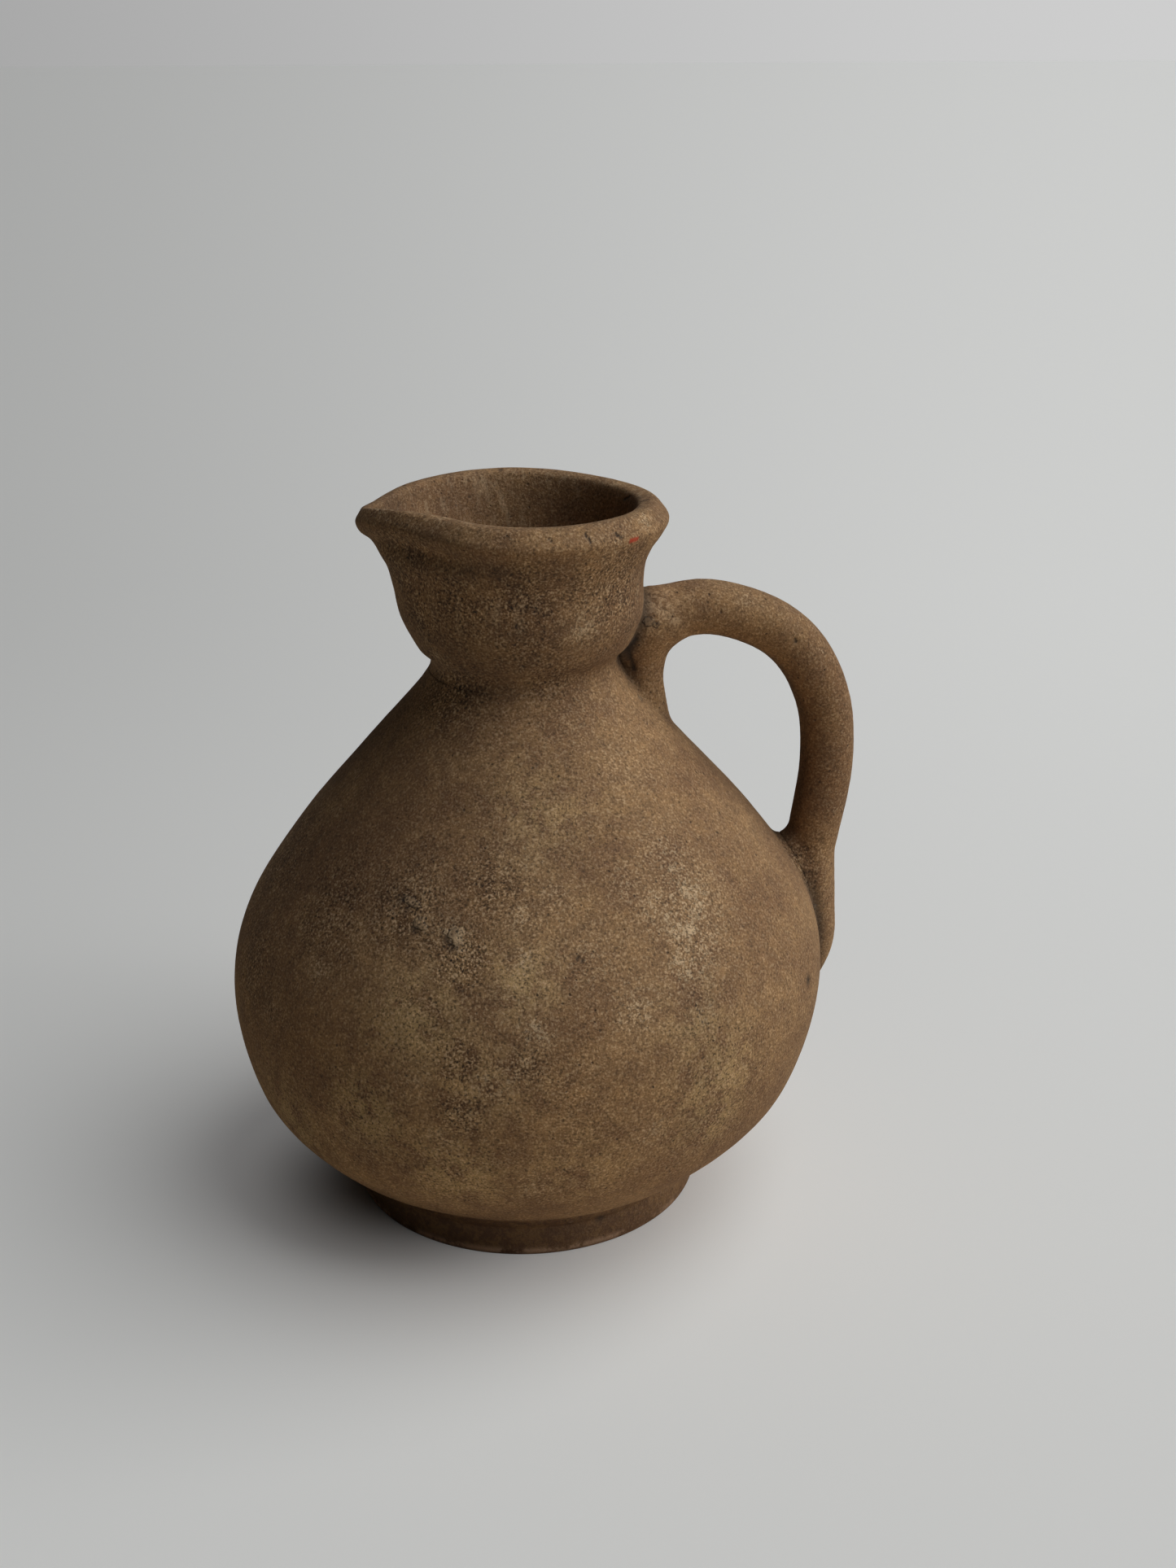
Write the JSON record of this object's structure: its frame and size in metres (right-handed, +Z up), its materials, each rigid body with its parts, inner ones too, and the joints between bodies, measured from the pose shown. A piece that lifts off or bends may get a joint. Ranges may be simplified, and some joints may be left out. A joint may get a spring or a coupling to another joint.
{
  "type": "ceramic pitcher",
  "caption": "Unglazed brown clay pitcher with a round belly, waisted neck, rolled lip with a pinched spout, a rod handle on a small brace, and a flat foot.",
  "frame": {"origin": "centre of the foot's flat underside, on the turning axis", "axes": "+Z up along the turning axis, +X towards the handle, -X towards the spout, +Y to the left seen from the handle's side"},
  "size_m": [0.1821, 0.17, 0.205],
  "materials": {
    "body_clay": "matt unglazed earthenware, sandy and mottled",
    "foot_clay": "matt unglazed earthenware, darker and smoother from handling",
    "luting_clay": "matt unglazed earthenware, rough and a little paler"
  },
  "bodies": {
    "root": {"belly": "body_clay", "neck": "body_clay", "foot": "foot_clay", "handle": "body_clay", "handle_brace": "body_clay", "handle_top_luting_clay": "luting_clay", "handle_tail_clay": "luting_clay", "neck_luting_coil": "luting_clay", "foot_luting_coil": "luting_clay"}
  },
  "joints": []
}
